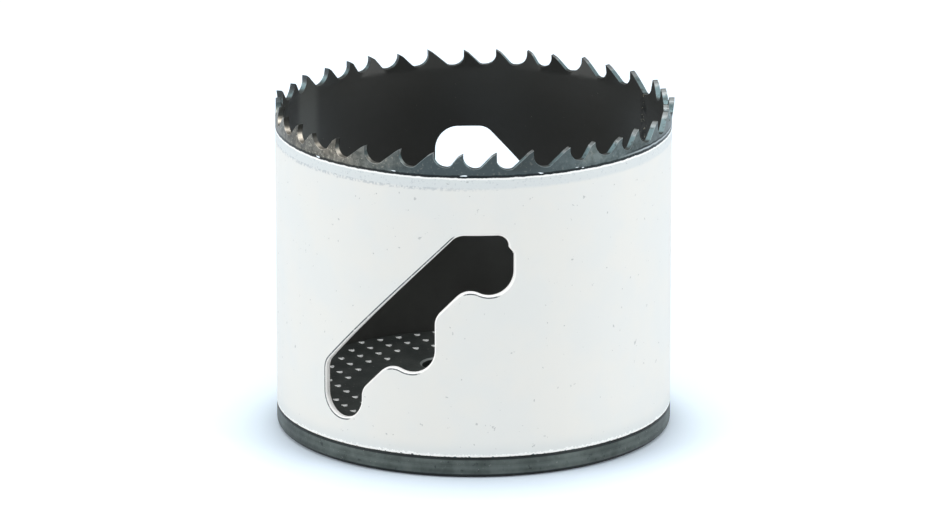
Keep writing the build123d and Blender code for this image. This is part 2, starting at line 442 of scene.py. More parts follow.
def addPlainWall(sheet, sides, plainS):
    # plain wall from one patch's right side to the next one's left side, outside and inside
    for turn in range(2):
        rightZ, leftZ = sides[turn][1], sides[1 - turn][3]
        for depth, inside in ((0.0, False), (cup["wall"], True)):
            grid = sheet.points(plainS[:, None] + turn * halfTurn, rightZ[None], depth)
            sheet.quads(grid[:, ::-1] if inside else grid)
            edge = sheet.points(np.full(len(leftZ), lever["patchLeft"] + (turn + 1) * halfTurn), leftZ, depth)
            if inside:
                sheet.zip(grid[-1], edge, rightZ, leftZ)
            else:
                sheet.zip(edge[::-1], grid[-1][::-1], -leftZ[::-1], -rightZ[::-1])


def addFoot(sheet, loopS, lowZ):
    # down the outside, round the lower edge, under the wall and up the inside
    c, wall = cup["footRound"], cup["wall"]
    turns = np.linspace(0, np.pi / 2, 5)
    footZ = np.r_[lowZ, cup["foot"] + c * (1 - np.sin(turns)), cup["foot"], lowZ]
    footDepth = np.r_[0, c * (1 - np.cos(turns)), wall, wall]
    sheet.quads(sheet.points(loopS[:, None], footZ[None], footDepth[None])[:, ::-1])


def addBand(sheet):
    # tooth band, from its own foot over the tooth edges and down the inside
    outlineS, outlineZ, lean, footS = toothOutline()
    b, wall = teeth["edge"], cup["wall"]
    insetS, insetZ = offsetCurve(outlineS, outlineZ, -b, False)
    rise = np.linspace(0, 1, cup["bandRows"])
    upS = footS[:, None] + (insetS - footS)[:, None] * rise
    upZ = cup["bandFoot"] + (insetZ - cup["bandFoot"])[:, None] * rise
    far = np.hypot(upS - outlineS[:, None], upZ - outlineZ[:, None])
    cutDepth = np.array([b, wall / 3, wall * 2 / 3, wall - b])
    rows = (len(upS), len(cutDepth))
    sides = ((upS, outlineS[:, None]), (upZ, outlineZ[:, None]), (far, 0.0))
    bandS, bandZ, fromEdge = (
        np.concatenate([up, np.broadcast_to(edge, rows), up[:, ::-1]], 1) for up, edge in sides)
    flat = np.zeros(len(rise))
    bandDepth = np.broadcast_to(np.r_[flat, cutDepth, flat + wall], bandS.shape)
    height = np.clip((bandZ - cup["bend"]) / (cup["tip"] - cup["bend"]), 0, None)
    band = sheet.points(bandS, bandZ, bandDepth, lean[:, None] * cup["set"] * height, noneNear, fromEdge)
    sheet.quads(band)
    return band, footS


def joinBand(sheet, band, footS, loopS, highZ):
    # the seam between the band and the rest, outside and inside, from the band's first column on
    begin = np.argmin(np.abs(loopS - footS[0]))
    loopS = np.r_[loopS[begin:], loopS[:begin + 1] + 2 * halfTurn]
    for depth, column, inside in ((0.0, 0, False), (cup["wall"], -1, True)):
        low = sheet.points(loopS, np.full(len(loopS), highZ), depth)
        if inside:
            sheet.zip(band[:, column], low, footS, loopS)
        else:
            sheet.zip(low, band[:, column], loopS, footS)


def buildCup():
    # right round at one height, s is a patch, plain wall and the next patch's left side, twice
    sheet = Sheet()
    lowZ, highZ = cup["foot"] + cup["footRow"], cup["bandFoot"] - cup["seam"]
    sides = [addPatch(sheet, number, lowZ, highZ) for number in range(2)]
    nextLeft = lever["patchLeft"] + halfTurn
    plainS = np.linspace(lever["patchRight"], nextLeft - lever["plainGap"], lever["plainPoints"])
    low, high = (np.concatenate([
        sides[0][k], plainS[1:], [nextLeft], sides[1][k][1:], plainS[1:] + halfTurn]) for k in (0, 2))
    addPlainWall(sheet, sides, plainS)
    addFoot(sheet, np.append(low, nextLeft + halfTurn), lowZ)
    band, footS = addBand(sheet)
    joinBand(sheet, band, footS, high, highZ)
    piece = sheet.build("cupShell")
    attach(piece, "root")
    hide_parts("saw_cup")
    print("cup shell:", len(piece.data.polygons), "faces")
    return piece


cap = {
    "flange": 3.4,
    "floor": 5.56,
    "edgeRound": 0.9,
    "rimRound": 0.14,
    "roundPoints": 8,
    "spigotGap": 0.05,
    "spigotChamfer": 0.4,
    "columns": 192,
    "underRadii": (15.0, 22.0),
    "flangeRow": 1.8,
    "floorRadii": (29.0, 24.0, 19.0, 13.0),
    "threadMinor": 7.25,
    "threadDepth": 0.62,
    "threadPitch": 1.411,
    "threadGain": 1.35,  # above 1, crest and root are flat
    "threadCrest": 0.17,
    "threadRows": 62,
    "threadLead": 0.6,
    "leadSlope": 1.4,
    "mouthGap": 0.25,
    "pinCircle": 12.7,
    "pinHole": 3.4,
    "pinChamfer": 0.3,
    "pinAngle": 113.0,
    "plugSides": 64,
    "plugPast": 0.5,  # the plugs stick out this far
    "pitPitch": 3.34,
    "pitWidth": 1.08,
    "pitLong": 1.3,
    "pitBehind": 0.42,  # share of a pit's length behind its lattice point
    "pitPoints": 11,
    "pitDepth": 0.42,
    "pitLift": 0.2,  # the punches stick out this far
    "pitFloor": 0.15,  # the pit's floor as a share of its mouth
    "pitTurn": 25.2,
    "pitSkew": -11.0,
    "pitPhase": (2.14, 3.45),
    "pitInner": 19.6,
    "pitWallGap": 0.9,
    "sharp": 30,  # degrees
}


def threadWall(z, angle):
    # groove depth 1 - |2 (frac(z / pitch - angle / 2 pi)) - 1|, flattened at crest and root
    phase = (z / cap["threadPitch"] - angle / (2 * math.pi)) % 1.0
    groove = np.clip((1 - np.abs(2 * phase - 1)) * cap["threadGain"] - cap["threadCrest"], 0, 1)
    return groove * cap["threadDepth"]


def turnedBody():
    # a profile of (r, z) turned about the axis; only the arbor hole's rows also follow the thread
    v = named(cap)
    outside, e, k, lead = cup["radius"], v.edgeRound, v.rimRound, v.threadLead
    flange, floor = v.flange, v.floor
    spigot = outside - cup["wall"] - v.spigotGap
    mouth = v.threadMinor + lead + v.mouthGap
    t = np.linspace(0, np.pi / 2, v.roundPoints)
    rows = [
        (np.linspace(mouth, v.underRadii[0], 4), np.zeros(4)),
        (np.array([v.underRadii[1], outside - e]), np.zeros(2)),
        ((outside - e + e * np.sin(t))[1:], (e - e * np.cos(t))[1:]),
        (np.array([outside, outside]), np.array([v.flangeRow, flange - k])),
        ((outside - k + k * np.cos(t[::2]))[1:], (flange - k + k * np.sin(t[::2]))[1:]),
        (np.array([spigot, spigot, spigot - v.spigotChamfer]),
         np.array([flange, floor - v.spigotChamfer, floor])),
        (np.array([*v.floorRadii, mouth]), np.full(5, floor)),
    ]
    r, z = (np.concatenate(part) for part in zip(*rows))
    hole = np.linspace(floor, 0, v.threadRows)[1:-1]
    flare = np.clip(np.maximum(hole - (floor - lead), lead - hole), 0, None) * v.leadSlope
    angle = np.linspace(0, 2 * np.pi, v.columns, endpoint=False)[:, None]
    wall = v.threadMinor + np.maximum(threadWall(hole[None], angle), flare[None])
    radius = np.concatenate([np.broadcast_to(r, (len(angle), len(r))), wall], 1)
    height = np.broadcast_to(np.r_[z, hole], radius.shape)
    points = np.stack([radius * np.cos(angle), radius * np.sin(angle), height], -1)
    index = np.arange(radius.size).reshape(radius.shape)
    index = np.concatenate([index, index[:1]])
    index = np.concatenate([index, index[:, :1]], 1)
    return addMesh("capBody", points.reshape(-1, 3), [gridQuads(index)])


def pitCutters():
    # half-round punches on a turned square lattice, between the pin holes' ring and the wall: each has
    # a straight far side and a half ellipse towards the front, and narrows downwards
    v = named(cap)
    reach = int(cup["radius"] / v.pitPitch) + 2
    row, column = np.meshgrid(np.arange(-reach, reach + 1), np.arange(-reach, reach + 1), indexing="ij")
    turn = math.radians(v.pitTurn)
    x = (v.pitPitch * (column * math.cos(turn) - row * math.sin(turn)) + v.pitPhase[0]).reshape(-1)
    y = (v.pitPitch * (column * math.sin(turn) + row * math.cos(turn)) + v.pitPhase[1]).reshape(-1)
    away = np.hypot(x, y)
    kept = (away > v.pitInner) & (away < cup["radius"] - cup["wall"] - v.pitWallGap)
    x, y = x[kept], y[kept]
    n = v.pitPoints
    bow = np.pi + np.pi * np.linspace(0, 1, n)
    shape = np.stack([v.pitWidth / 2 * np.cos(bow), v.pitLong * (v.pitBehind + np.sin(bow))], 1)
    turn += math.radians(v.pitSkew)
    turned = shape @ np.array([(math.cos(turn), math.sin(turn)), (-math.sin(turn), math.cos(turn))])
    wide = 1 + (1 - v.pitFloor) * v.pitLift / v.pitDepth
    corner = np.concatenate([
        np.c_[turned * v.pitFloor, np.full(n, v.floor - v.pitDepth)],
        np.c_[turned * wide, np.full(n, v.floor + v.pitLift)]])
    points = corner[None] + np.stack([x, y, 0 * x], -1)[:, None]
    first = 2 * n * np.arange(len(x))[:, None, None]
    loop = np.arange(n)
    sides = np.stack([loop, (loop + 1) % n, (loop + 1) % n + n, loop + n], -1)
    faces = [(sides[None] + first).reshape(-1, 4), loop[None, ::-1] + first[:, 0],
             loop[None] + n + first[:, 0]]
    return points.reshape(-1, 3), faces


def plugCutter():
    # a turned plug for a pin hole, wider past the chamfer at each end
    v = named(cap)
    c, over, sides = v.pinChamfer, v.plugPast, v.plugSides
    r = v.pinHole + np.array([c + over, 0, 0, c + over])
    z = np.array([-over, c, v.floor - c, v.floor + over])
    a = np.linspace(0, 2 * np.pi, sides, endpoint=False)[:, None]
    points = np.stack([r * np.cos(a), r * np.sin(a), z + 0 * a], -1)
    ring = np.arange(points.shape[0] * points.shape[1]).reshape(points.shape[:2])
    closed = np.concatenate([ring, ring[:1]])
    return points.reshape(-1, 3), [gridQuads(closed), ring[:, 3][None], ring[:, 0][None, ::-1]]


def buildCap():
    # the turned body less the pits' punches and a plug for each of the two pin holes
    piece = turnedBody()
    pits, faces = pitCutters()
    points = [pits]
    plug, plugFaces = plugCutter()
    for half in range(2):
        at = math.radians(cap["pinAngle"] + 180 * half)
        base = len(pits) + half * len(plug)
        points.append(plug + cap["pinCircle"] * np.array([math.cos(at), math.sin(at), 0]))
        faces += [f + base for f in plugFaces]
    cutter = addMesh("capCutter", np.concatenate(points), faces)
    modifier = piece.modifiers.new("holes", "BOOLEAN")
    modifier.operation = "DIFFERENCE"
    modifier.solver = "EXACT"
    modifier.object = cutter
    bpy.context.view_layer.update()
    done = bpy.data.meshes.new_from_object(piece.evaluated_get(bpy.context.evaluated_depsgraph_get()))
    piece.modifiers.clear()
    piece.data = done
    done.name = "capBody"
    bpy.data.objects.remove(cutter)
    done.shade_smooth()
    done.set_sharp_from_angle(angle=math.radians(cap["sharp"]))
    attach(piece, "root")
    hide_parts("end_cap")
    print("cap:", len(done.polygons), "faces,", len(pits) // (2 * cap["pitPoints"]), "pits")
    return piece


class Graph:
    # a small helper that adds shader nodes to a material or world and links them by name
    def __init__(self, owner, shader="Principled BSDF"):
        self.material = owner
        owner.use_nodes = True
        self.tree = owner.node_tree
        self.shader = self.tree.nodes[shader]

    def node(self, kind, inputs=None, **settings):
        made = self.tree.nodes.new(kind)
        for key, value in settings.items():
            setattr(made, key, value)
        for key, value in (inputs or {}).items():
            self.set(made.inputs[key], value)
        return made

    def set(self, socket, value):
        if isinstance(value, bpy.types.NodeSocket):
            self.tree.links.new(value, socket)
        else:
            socket.default_value = value

    def math(self, operation, a, b=0.0, c=0.0):
        return self.node("ShaderNodeMath", {0: a, 1: b, 2: c}, operation=operation).outputs[0]

    def times(self, product, *factors):
        # the product of all of them, from left to right
        for factor in factors:
            product = self.math("MULTIPLY", product, factor)
        return product

    def length(self, a, b):
        # root of a^2 + b^2
        return self.math("SQRT", self.math("ADD", self.times(a, a), self.times(b, b)))

    def distance(self, value, place):
        # how far a length in metres is from a place in millimetres
        return self.math("ABSOLUTE", self.math("SUBTRACT", value, place * mm))

    def mix(self, factor, a, b):
        # colours
        return self.node("ShaderNodeMix", {0: factor, 6: a, 7: b}, data_type="RGBA").outputs[2]

    def blend(self, factor, a, b):
        # single values
        return self.node("ShaderNodeMix", {0: factor, 2: a, 3: b}, data_type="FLOAT").outputs[0]

    def cover(self, under, mask, tone, share):
        # the tone over what lies under it, as far as the mask and the share let it show
        return self.mix(self.times(mask, share), under, tone)

    def layer(self, under, value, pair, tone, share):
        return self.cover(under, self.step(value, pair), tone, share)

    def raised(self, base, value, gain):
        # base + gain * value
        return self.math("MULTIPLY_ADD", value, gain, base)

    def noise(self, vector, scale, detail, rough=0.55):
        inputs = {"Vector": vector, "Scale": scale, "Detail": detail, "Roughness": rough}
        return self.node("ShaderNodeTexNoise", inputs).outputs["Fac"]

    def step(self, value, pair):
        # 0 on the side of the pair's first value, 1 on the side of its second, smooth between
        inputs = {"Value": value, "From Min": pair[0], "From Max": pair[1]}
        return self.node("ShaderNodeMapRange", inputs, interpolation_type="SMOOTHSTEP").outputs["Result"]

    def fade(self, value, pair, base=0.0):
        # the same for a length in metres, with the pair counted in millimetres from the base
        return self.step(value, [(base + part) * mm for part in pair])

    def attribute(self, name):
        return self.node("ShaderNodeAttribute", attribute_name=name).outputs["Fac"]

    def place(self):
        # object coordinates, whole and one by one
        spot = self.node("ShaderNodeTexCoord").outputs["Object"]
        return (spot, *self.node("ShaderNodeSeparateXYZ", {"Vector": spot}).outputs)

    def finish(self, tone, metal, rough, height, strength, distance):
        # what the shader and its bump read
        self.set(self.shader.inputs["Base Color"], tone)
        self.set(self.shader.inputs["Metallic"], metal)
        self.set(self.shader.inputs["Roughness"], rough)
        bump = self.node("ShaderNodeBump", {"Height": height, "Strength": strength, "Distance": distance})
        self.set(self.shader.inputs["Normal"], bump.outputs[0])
        return self.material


def colour(r, g, b):
    # display values 0 to 255 to linear light
    x = np.array([r, g, b]) / 255
    x = np.where(x <= 0.04045, x / 12.92, ((x + 0.055) / 1.055) ** 2.4)
    return (*x.tolist(), 1.0)


# noises that the cup's layers share: scale to a metre, detail, roughness
noises = {
    "cloud": (110, 3, 0.55),
    "fine": (2300, 3, 0.6),
    "coarse": (620, 4, 0.7),
    "middle": (330, 2, 0.55),
    "dots": (1000, 2, 0.7),
}

# noises drawn out along the strip: scale along it and up it, detail
drawnOut = {
    "streak": ((150, 1500, 1), 4),
    "fleck": ((260, 900, 1), 2),
}

# a colour and a number together are a layer's colour and its share
paint = {
    "colour": colour(231, 233, 231),
    "cool": colour(228, 232, 232),
    "coolCloud": (0.35, 0.65),
    "upper": colour(212, 221, 225),
    # near white: the painted highlight along the paint's edges, and the colour of the splashes
    "rim": colour(250, 254, 255),
    # the slots' cut faces whiter than the paint: painted highlight
    "cutFace": colour(252, 253, 252),
    "lowEdge": 3.5,
    "highEdge": 49.3,
    "ragged": 0.4,
    "lowRagged": 1.1,
    "lowFade": (-0.12, -0.02),  # from the low edge up
    "lowRim": (0.4, 0.3),  # from the low edge up
    "highFade": (-0.02, 0.03),  # from the high edge down, as the next heights are
    "highRimAt": 0.14,
    "highRim": (0.2, 0.14),
    "thin": (2.1, 1.5),
    "thinShare": 0.72,
    "faint": (colour(158, 170, 180), 0.5),
    "faintRise": (1.55, 1.75),
    "faintFall": (2.3, 2.0),
    "faintSide": (8, -12),  # x
    "faintGrain": (0.44, 0.56),
    "dust": (colour(156, 170, 182), 0.35),
    "dustFade": (2.4, 0.8),
    "dustGrain": (0.59, 0.66),
    "foot": (6.2, 3.6),  # z
    "footShare": 0.5,
    "specks": ((0.70, 0.735), colour(150, 158, 162), 0.5),
    "depthGrain": 0.1,
    "depthFade": (0.99, 0.92),  # shares of the wall, from the outside in
    # a patchy dark line on the slots' outer corner at their left and lower edges: painted shade
    "line": colour(74, 82, 88),
    "lineRise": (0.17, 0.2),  # from the slot's edge
    "lineFall": (0.42, 0.37),
    "lineDepth": (0.5, 0.3),
    "lineCoarse": 0.5,
    "lineGrain": (0.42, 0.7),
    "roughness": 0.42,
    "roughGrain": 0.08,
    "bump": 0.03,
    "bumpStrength": 0.6,
    "bumpGrain": 0.2,
    "bumpLift": 1.2,
}

steel = {
    # warm on one side, cool on the other and dark in the middle: painted reflection
    "warm": colour(122, 116, 106),
    "warmDark": colour(84, 81, 74),
    "cold": colour(98, 107, 106),
    "coldDark": colour(74, 82, 81),
    "coldSide": (-22, -2),  # x
    "coldShake": 6,
    "middle": colour(70, 78, 79),
    "middleSide": (22, 8),  # from x = 0
    "grimeStreak": 0.2,
    "grime": (0.45, 0.72),
    "grainShares": (0.55, 0.12),  # warm side, cold side
    "brightGrains": ((0.58, 0.68), colour(190, 184, 168)),
    "darkGrains": ((0.42, 0.33), colour(30, 32, 31)),
    "shade": colour(58, 58, 54),
    "line": colour(18, 22, 24),
    "lineFade": (-0.5, -0.34),  # from the paint's high edge down
    "lineShare": 0.85,
    "aside": (22.5, 27.5),  # x
    # a painted highlight near the teeth's bend
    "sheen": (-0.56, (0.16, 0.1), colour(196, 200, 200), 0.7),  # place, width, colour, share
    # a painted shade line along the teeth's bend
    "scribed": (-0.86, (0.17, 0.1), colour(18, 22, 24), 0.92),
    "splash": (0.645, 0.67),
    "splashFade": (-0.62, -0.5),
    "splashShare": 0.9,
    "metallic": 0.8,
    "roughness": 0.34,
    "roughStreak": 0.16,
    "bump": 0.3,
}

ground = {
    # cream on the warm side and teal on the cool side: painted reflection
    "warm": colour(252, 243, 226),
    "cold": colour(126, 151, 156),
    "tip": colour(190, 199, 201),
    "behind": (-6, 6),  # y
    "warmShake": 1.2,
    # darker towards the tips on the warm side: painted shade
    "warmFall": (52.6, 51.6),  # z
    "coldShake": 0.6,
    # lighter towards the tips on the cool side: painted highlight
    "coldRise": (52.5, 53.0),  # z
    "dull": (0.5, 0.36),
    "dullShare": 0.55,
    # painted shade on faces that look up
    "gullet": (0.66, 0.97),  # upward part of the normal
    "gulletShare": 0.85,
    # painted shade up high on the back faces of one side
    "back": colour(70, 76, 78),
    "backBehind": (-2, 4),  # y
    "backSide": (4, -4),  # x
    "backHigh": (51.2, 52.3),  # z
    # a painted highlight along the teeth's edges
    "edgeHighlight": (0.07, 0.02),  # from the tooth's edge
    "edgeHighlightDepth": (0.5, 0.4),
    "edgeHighlightShare": 0.35,
    "metallic": 0.55,
}

inner = {
    # high and low: lighter low in the cup and darker towards the mouth, painted light
    "high": colour(61, 63, 62),
    "low": colour(109, 110, 108),
    "rise": (14, 44),  # z
    "cloud": (0.3, 0.7),
    "cloudShare": 0.25,
    # a soft lighter band up the inside wall: painted reflection
    "streak": (colour(96, 99, 96), 0.7),
    "streakAt": 133.4,  # along the strip
    "streakWide": (4.2, 1.8),
    "streakHigh": (30, 40),  # z
    "seamAt": 64.83,  # along the strip, where its ends are butt welded
    "seamShake": 0.9,
    "seamWide": (1.9, 0.8),
    "seamDark": colour(20, 20, 19),
    "seamDarks": (0.42, 0.55),
    "seamLight": colour(170, 166, 150),
    "seamLights": (0.6, 0.68),
    "seamBump": 3.0,
    "specks": ((0.74, 0.78), colour(190, 190, 180), 0.6),
    "depth": (0.9, 0.98),
    "metallic": 0.35,
}


def cupFields(g):
    # places, attributes and noises that the cup's layers read
    f = SimpleNamespace()
    f.spot, f.x, f.y, f.z = g.place()
    for name in ("depth", "rim", "tooth", "cut", "wear"):
        setattr(f, name, g.attribute(name))
    for name, values in noises.items():
        setattr(f, name, g.noise(f.spot, *values))
    # the strip laid flat, for marks that run round the cup
    flat = g.node("ShaderNodeUVMap", uv_map="strip").outputs["UV"]
    f.along = g.node("ShaderNodeSeparateXYZ", {"Vector": flat}).outputs[0]
    for name, (scale, detail) in drawnOut.items():
        drawn = g.node("ShaderNodeMapping", {"Vector": flat, "Scale": scale})
        setattr(f, name, g.noise(drawn.outputs[0], 1.0, detail))
    # heights from the paint's ragged edges: top counts down from the high one, low is the height itself
    shake = g.raised(f.z, g.math("SUBTRACT", f.coarse, 0.5), paint["ragged"] * mm)
    f.top = g.math("SUBTRACT", paint["highEdge"] * mm, shake)
    f.low = g.raised(shake, g.math("SUBTRACT", f.fine, 0.5), paint["lowRagged"] * mm)
    # the cool side, which the painted reflection tints of the band and the teeth follow
    f.side = g.fade(g.raised(f.x, f.middle, steel["coldShake"] * mm), steel["coldSide"])
    return f


def paintCover(g, f):
    # 1 between the paint's two edges, outside and on the slots' cut faces
    below = g.fade(f.top, paint["highFade"])
    above = g.fade(f.low, paint["lowFade"], paint["lowEdge"])
    outside = g.step(g.raised(f.depth, f.fine, paint["depthGrain"]), paint["depthFade"])
    return g.times(below, above, outside)


def paintTint(g, f):
    # white paint, thinner and speckled over the last millimetres below its upper edge
    p = named(paint)
    thin = g.times(g.fade(f.top, p.thin), p.thinShare)
    foot = g.times(g.fade(f.z, p.foot), p.footShare)
    faint = g.times(g.fade(f.top, p.faintRise), g.fade(f.top, p.faintFall),
                    g.fade(f.x, p.faintSide), g.step(f.fine, p.faintGrain))
    dust = g.times(g.fade(f.top, p.dustFade), g.step(f.fine, p.dustGrain))
    tint = g.mix(g.step(f.cloud, p.coolCloud), p.colour, p.cool)
    tint = g.mix(g.math("MAXIMUM", thin, foot), tint, p.upper)
    tint = g.layer(tint, f.dots, *p.specks)
    tint = g.cover(tint, faint, *p.faint)
    tint = g.cover(tint, dust, *p.dust)
    # a painted highlight along both edges, the slots' cut faces whiter as a painted highlight, and a painted
    # shade line on their outer corner
    highRim = g.fade(g.distance(f.top, p.highRimAt), p.highRim)
    lowRim = g.fade(f.low, p.lowRim, p.lowEdge)
    tint = g.mix(g.math("MAXIMUM", highRim, lowRim), tint, p.rim)
    # painted highlight on the slots' cut faces
    tint = g.mix(f.cut, tint, p.cutFace)
    patchy = g.step(g.raised(f.fine, f.coarse, p.lineCoarse), p.lineGrain)
    # painted shade along the slots' outer corner on their left and lower edges
    edgeShadeLine = g.times(g.step(f.rim, p.lineRise), g.step(f.rim, p.lineFall), f.wear,
                   g.step(f.depth, p.lineDepth), patchy)
    return g.mix(edgeShadeLine, tint, p.line)


def bareBand(g, f):
    # bare steel outside: warm to one side, cool to the other and darker in the middle, a painted reflection;
    # with scale and bright grains
    m = named(steel)
    grime = g.step(g.raised(f.coarse, f.streak, m.grimeStreak), m.grime)
    dark = g.mix(f.side, m.warmDark, m.coldDark)
    band = g.mix(grime, dark, g.mix(f.side, m.warm, m.cold))
    # darker in the middle: painted reflection
    near = g.fade(g.math("ABSOLUTE", f.x), m.middleSide)
    band = g.mix(g.times(f.side, near), band, m.middle)
    share = g.blend(f.side, *m.grainShares)
    band = g.layer(band, f.fine, *m.brightGrains, share)
    band = g.layer(band, f.fine, *m.darkGrains, share)
    # a painted highlight and a painted shade line along the teeth's bend near the paint on one side, the dark
    # line at the paint's end, splashes of paint
    aside = g.fade(f.x, m.aside)
    for at, width, tone, share in (m.sheen, m.scribed):
        mark = g.times(g.fade(g.distance(f.top, at), width), aside)
        band = g.cover(band, mark, tone, share)
    band = g.cover(band, g.fade(f.top, m.lineFade), m.line, m.lineShare)
    splash = g.times(g.step(f.fleck, m.splash), g.fade(f.top, m.splashFade))
    return g.cover(band, splash, paint["rim"], m.splashShare)


def toothFaces(g, f):
    # ground faces of the teeth in painted light: a painted reflection, cream on the warm side and teal on the
    # cool side and behind; painted shade on faces that look up in the gullets' floors and towards the tips on
    # the warm side
    m = named(ground)
    shade = steel["shade"]
    normal = g.node("ShaderNodeNewGeometry").outputs["Normal"]
    upward = g.node("ShaderNodeSeparateXYZ", {"Vector": normal}).outputs[2]
    warmHeight = g.raised(f.z, f.middle, m.warmShake * mm)
    coldHeight = g.raised(f.z, f.middle, m.coldShake * mm)
    warm = g.mix(g.fade(warmHeight, m.warmFall), shade, m.warm)
    cold = g.mix(g.fade(coldHeight, m.coldRise), m.cold, m.tip)
    face = g.mix(g.math("MAXIMUM", f.side, g.fade(f.y, m.behind)), warm, cold)
    face = g.layer(face, f.coarse, m.dull, shade, m.dullShare)
    face = g.layer(face, upward, m.gullet, shade, m.gulletShare)
    # painted shade: at the back of one side the faces are dark up high and bright low down only
    back = g.times(g.fade(f.y, m.backBehind), g.fade(f.x, m.backSide))
    return g.cover(face, back, m.back, g.fade(f.z, m.backHigh))


def insideTone(g, f, seam):
    # painted light, lighter low in the cup and darker towards the mouth; heat scale; a soft brighter band, a
    # painted reflection; the weld seam and a few specks
    m = named(inner)
    # painted light: lighter low in the cup, darker towards the mouth
    tone = g.mix(g.fade(f.z, m.rise), m.low, m.high)
    tone = g.layer(tone, f.cloud, m.cloud, steel["shade"], m.cloudShare)
    # the soft lighter band is a painted reflection
    streak = g.fade(g.distance(f.along, m.streakAt), m.streakWide)
    tone = g.cover(tone, g.times(streak, g.fade(f.z, m.streakHigh)), *m.streak)
    tone = g.cover(tone, seam, m.seamDark, g.step(f.coarse, m.seamDarks))
    tone = g.cover(tone, seam, m.seamLight, g.step(f.fine, m.seamLights))
    return g.layer(tone, f.fine, *m.specks)


def cupMaterial():
    g = Graph(bpy.data.materials.new("paintedCup"))
    f = cupFields(g)
    covered = paintCover(g, f)
    # painted highlight along the teeth's edges
    edgeHighlight = g.times(g.step(f.tooth, ground["edgeHighlight"]), g.step(f.depth, ground["edgeHighlightDepth"]))
    band = g.cover(bareBand(g, f), edgeHighlight, ground["tip"], ground["edgeHighlightShare"])
    band = g.mix(f.cut, band, toothFaces(g, f))
    off = g.distance(f.along, inner["seamAt"])
    seam = g.fade(g.raised(off, f.middle, inner["seamShake"] * mm), inner["seamWide"])
    within = g.step(f.depth, inner["depth"])
    bare = g.mix(within, band, insideTone(g, f, seam))
    tone = g.mix(covered, bare, paintTint(g, f))
    outside = g.blend(f.cut, steel["metallic"], ground["metallic"])
    metal = g.blend(covered, g.blend(within, outside, inner["metallic"]), 0.0)
    rough = g.blend(covered, g.raised(steel["roughness"], f.streak, steel["roughStreak"]),
                    g.raised(paint["roughness"], f.fine, paint["roughGrain"]))
    lumps = g.times(seam, within, g.times(f.coarse, inner["seamBump"]))
    bareHeight = g.raised(lumps, g.math("ADD", f.streak, f.fine), steel["bump"])
    paintHeight = g.raised(paint["bumpLift"], f.fine, paint["bumpGrain"])
    height = g.blend(covered, bareHeight, paintHeight)
    return g.finish(tone, metal, rough, height, paint["bumpStrength"], paint["bump"] * mm)


capFinish = {
    "cloud": (230, 4, 0.6),
    "fine": (2600, 3, 0.65),
    "grain": (1100, 3, 0.6),
    "turned": (2600, 2),
    "band": (31.0, 31.4),  # from the axis
    "floorDark": colour(72, 78, 77),
    "floorLight": colour(92, 97, 95),
    "floorCloud": (0.3, 0.7),
    "bandDark": colour(66, 72, 69),
    "bandLight": colour(99, 106, 102),
    "bandTurned": 0.4,
    "bandCloud": (0.4, 0.95),
    "bright": ((0.66, 0.72), colour(205, 206, 200)),
    "brightShares": (0.6, 0.3),  # floor, band
    "dark": ((0.38, 0.3), colour(36, 39, 40), 0.5),
    # near white pits: painted highlight
    "pit": colour(250, 253, 252),
    "pitBottom": (-0.56, -0.5),  # from the cap's inner face
    "pitTop": (-0.02, -0.06),
    "pitFrom": (18.2, 18.4),  # from the axis
    "pitTo": (30.4, 30.3),
    # painted highlight round each pin hole's chamfer
    "ring": (colour(190, 198, 196), 0.8),
    "ringRise": (0.03, 0.08),  # from the pin hole's wall
    "ringFall": (0.42, 0.3),
    "ringHigh": (5.0, 5.2),  # z
    # dark: at the seam it is the joint, round the foot it is painted shade
    "line": (colour(24, 27, 29), 0.85),
    "seam": (2.88, 3.02),  # z
    "footFrom": (30.4, 30.7),  # from the axis
    "footLow": (0.72, 0.5),  # z
    "metallic": (0.45, 0.75),  # floor, band
    "roughness": 0.36,
    "roughGrain": 0.2,
    "bumpFine": 0.6,
    "bumpTurned": 0.7,
    "bumpStrength": 0.5,
    "bump": 0.04,
}


def pinDistance(g, x, y):
    # distance from the nearer pin hole's axis
    turn = math.radians(cap["pinAngle"])
    far = []
    for sign in (1, -1):
        dx = g.math("SUBTRACT", x, sign * cap["pinCircle"] * math.cos(turn) * mm)
        dy = g.math("SUBTRACT", y, sign * cap["pinCircle"] * math.sin(turn) * mm)
        far.append(g.length(dx, dy))
    return g.math("MINIMUM", *far)


def capMarks(g, tone, x, y, z, radius, onBand):
    # pits painted bright as a painted highlight, a painted highlight ring on each pin hole's chamfer, a dark
    # line at the seam's joint and painted shade round the foot
    m = named(capFinish)
    floor, hole = cap["floor"], cap["pinHole"]
    pits = g.times(g.fade(radius, m.pitFrom), g.fade(radius, m.pitTo))
    pits = g.times(g.times(g.fade(z, m.pitBottom, floor), g.fade(z, m.pitTop, floor)), pits)
    tone = g.mix(pits, tone, m.pit)
    away = pinDistance(g, x, y)
    # painted highlight on the pin holes' chamfers
    ring = g.times(g.fade(away, m.ringRise, hole), g.fade(away, m.ringFall, hole),
                   g.fade(z, m.ringHigh))
    tone = g.cover(tone, ring, *m.ring)
    seam = g.times(onBand, g.fade(z, m.seam))
    # painted shade under the cap's lower edge
    foot = g.times(g.fade(radius, m.footFrom), g.fade(z, m.footLow))
    return g.cover(tone, g.math("MAXIMUM", seam, foot), *m.line), pits


